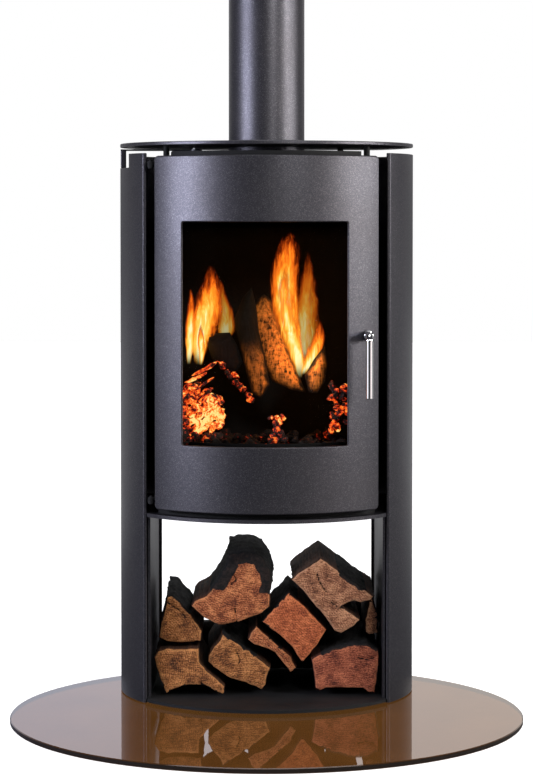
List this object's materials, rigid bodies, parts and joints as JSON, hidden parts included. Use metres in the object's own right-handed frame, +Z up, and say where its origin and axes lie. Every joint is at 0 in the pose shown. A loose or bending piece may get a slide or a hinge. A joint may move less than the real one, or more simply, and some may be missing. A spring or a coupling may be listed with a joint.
{
  "type": "wood burning stove",
  "caption": "Round free-standing wood stove with a curved glass door, chrome handle, side air lever, open log store and flue pipe on a round glass hearth.",
  "frame": {"origin": "under the centre of the round hearth glass, on the floor", "axes": "+Z up the flue, -Y out of the stove door towards the room, +X to the right of someone facing the door"},
  "size_m": [0.9699, 0.97, 1.573],
  "materials": {
    "charcoal_paint": "satin metallic charcoal stove paint",
    "black_steel": "matt black heat-resistant paint",
    "plated_steel": "zinc plated steel",
    "polished_chrome": "polished chrome",
    "smoked_glass": "polished bronze-tinted toughened glass",
    "fire_glass": "clear ceramic glass",
    "vermiculite": "sooty vermiculite board",
    "cast_grate": "raw cast iron",
    "glass_rope": "black braided glass fibre",
    "split_firewood": "split hardwood with dark bark",
    "charred_wood": "charred and glowing at the edges",
    "embers": "glowing charcoal and ash"
  },
  "bodies": {
    "stove": {"air_chamber": "black_steel", "air_lever_pivot": "plated_steel", "airwash_deflector": "black_steel", "ash_pan": "plated_steel", "back_panel": "charcoal_paint", "back_panel_screws": "plated_steel", "baffle_plate": "vermiculite", "baffle_supports": "black_steel", "base_plate": "charcoal_paint", "burning_logs": "charred_wood", "ember_bed": "embers", "fire_grate": "cast_grate", "firebox_back": "black_steel", "firebox_floor": "black_steel", "firebox_front_frame": "black_steel", "firebox_left_side": "black_steel", "firebox_right_side": "black_steel", "firebox_top": "black_steel", "firewood_lower_logs": "split_firewood", "firewood_rear_logs": "split_firewood", "firewood_upper_logs": "split_firewood", "floor_firebricks": "vermiculite", "floor_support": "black_steel", "flue_collar": "charcoal_paint", "flue_pipe": "charcoal_paint", "flue_spigot": "black_steel", "flue_spigot_screws": "plated_steel", "hearth_plate": "smoked_glass", "hinge_brackets": "black_steel", "hinge_pins": "black_steel", "latch_keeper": "black_steel", "left_casing": "charcoal_paint", "left_firebrick": "vermiculite", "left_store_wall": "charcoal_paint", "levelling_feet": "black_steel", "log_retainer": "black_steel", "rear_firebrick": "vermiculite", "right_casing": "charcoal_paint", "right_firebrick": "vermiculite", "right_store_wall": "charcoal_paint", "shelf_plate": "charcoal_paint", "top_plate": "charcoal_paint", "top_plate_spacers": "black_steel"},
    "door": {"door_skin": "charcoal_paint", "door_frame": "black_steel", "door_glass": "fire_glass", "glass_tape": "glass_rope", "glass_clips": "black_steel", "clip_screws": "black_steel", "door_rope_seal": "glass_rope", "hinge_lugs": "black_steel", "handle_bush": "plated_steel"},
    "door_handle": {"handle_rod": "polished_chrome", "latch_tongue": "black_steel", "spindle_washer": "plated_steel"},
    "air_control": {"air_valve_disc": "plated_steel", "air_lever_bush": "plated_steel", "air_lever_arm": "charcoal_paint", "air_lever_knob": "charcoal_paint"}
  },
  "joints": [
    {"name": "door_hinge", "type": "hinge", "parent": "stove", "child": "door", "pos_m": [-0.222, 0.071, 0.73], "axis": [0, 0, -1], "range_deg": [0, 110]},
    {"name": "handle_turn", "type": "hinge", "parent": "door", "child": "door_handle", "pos_m": [0.194, 0.037, 0.7255], "axis": [0, -1, 0], "range_deg": [-20, 75]},
    {"name": "air_lever", "type": "hinge", "parent": "stove", "child": "air_control", "pos_m": [-0.14, 0.252, 1.0825], "axis": [0, 0, 1], "range_deg": [-30, 30]}
  ]
}
